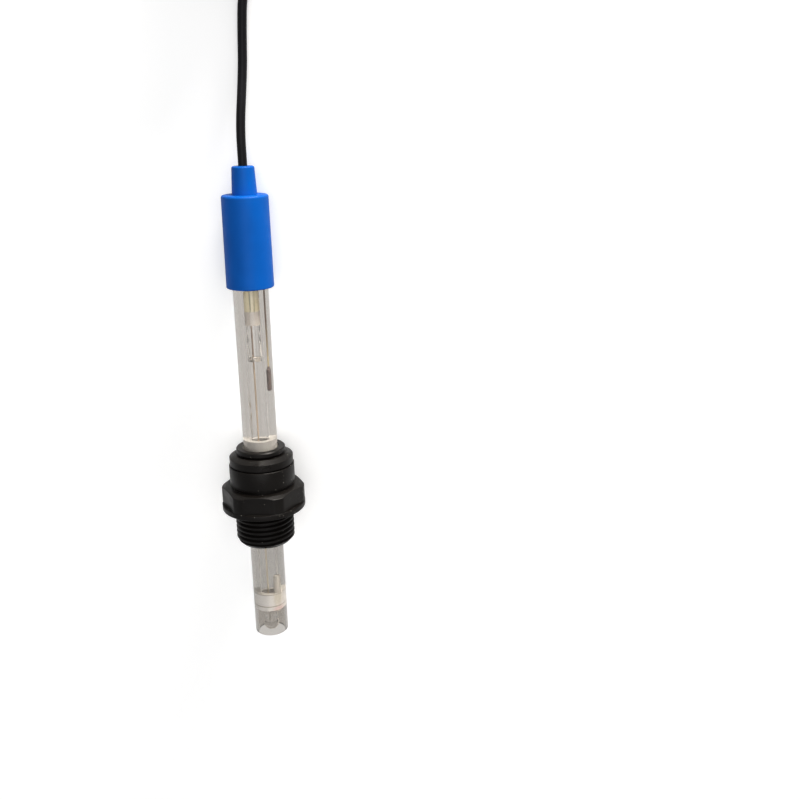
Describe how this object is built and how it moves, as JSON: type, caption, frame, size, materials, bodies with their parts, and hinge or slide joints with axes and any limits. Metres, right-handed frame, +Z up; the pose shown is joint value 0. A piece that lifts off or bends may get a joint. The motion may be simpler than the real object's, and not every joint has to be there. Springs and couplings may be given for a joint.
{
  "type": "ph electrode",
  "caption": "Combination pH electrode: clear tube with glass stem and bulb, blue cap, black push-in adaptor with pipe thread, and coaxial lead with bayonet plug.",
  "frame": {"origin": "on the floor under the middle of the electrode, which lies on its adaptor and its cap", "axes": "+Z up, +Y along the electrode from its tip to its cable, +X to the right seen from the tip"},
  "size_m": [0.0296, 0.2999, 0.0296],
  "materials": {
    "cap_blue": "satin moulded blue",
    "tube_clear": "clear, polished",
    "stem_glass": "clear glass",
    "resin_yellow": "translucent yellow resin",
    "plug_white": "matt white",
    "seal_resin": "cast resin",
    "cotton": "stained cotton",
    "silver_wire": "tarnished silver wire",
    "element_dark": "dark chloride coating",
    "junction_beige": "porous, matt",
    "core_white": "matt",
    "tinned_braid": "tinned copper",
    "adaptor_black": "satin moulded black",
    "retainer_black": "satin moulded black",
    "collet_black": "satin moulded black",
    "teeth_steel": "spring steel",
    "seal_rubber": "matt nitrile",
    "support_grey": "matt",
    "cable_black": "satin cable jacket",
    "tie_black": "satin",
    "plug_nickel": "nickel plate",
    "pin_gold": "gold plate",
    "boot_black": "matt"
  },
  "bodies": {
    "electrode": {"cap": "cap_blue", "outer_tube": "tube_clear", "stem_tube": "stem_glass", "resin_plug": "resin_yellow", "stem_plug": "plug_white", "cartridge_tube": "stem_glass", "cartridge_cotton": "cotton", "inner_wire": "silver_wire", "reference_wire": "silver_wire", "reference_element": "element_dark", "middle_plug": "plug_white", "lower_plug": "plug_white", "end_seal": "seal_resin", "junction_rod": "junction_beige", "head_potting": "seal_resin", "cable_tail": "cable_black", "core_lead": "core_white", "shield_lead": "tinned_braid", "cord_run": "cable_black", "cord_hank": "cable_black", "cord_tail": "cable_black", "hank_tie": "tie_black", "bnc_body": "plug_nickel", "bnc_pin": "pin_gold", "bnc_insulator": "plug_white", "bnc_ferrule": "plug_nickel", "bnc_boot": "boot_black"},
    "seal": {"o_ring": "seal_rubber", "support_ring": "support_grey"},
    "fitting": {"fitting_body": "adaptor_black", "retainer_ring": "retainer_black"},
    "collet": {"collet": "collet_black", "grip_teeth": "teeth_steel"},
    "bayonet": {"bnc_collar": "plug_nickel"}
  },
  "joints": [
    {"name": "depth_slide", "type": "slide", "parent": "electrode", "child": "seal", "axis": [0, 0.9979, -0.0653], "range_m": [-0.035, 0.055]},
    {"name": "fitting_swivel", "type": "hinge", "parent": "seal", "child": "fitting", "pos_m": [0, -0.03426, 0.01487], "axis": [0, 0.9979, -0.0653], "continuous": true},
    {"name": "collet_press", "type": "slide", "parent": "fitting", "child": "collet", "axis": [0, 0.9979, -0.0653], "range_m": [-0.0006, 0], "stiffness_N_per_m": 400},
    {"name": "bayonet_turn", "type": "hinge", "parent": "electrode", "child": "bayonet", "pos_m": [-0.005, 0.192, 0.012], "axis": [0, -0.9836, 0.1805], "continuous": true}
  ]
}
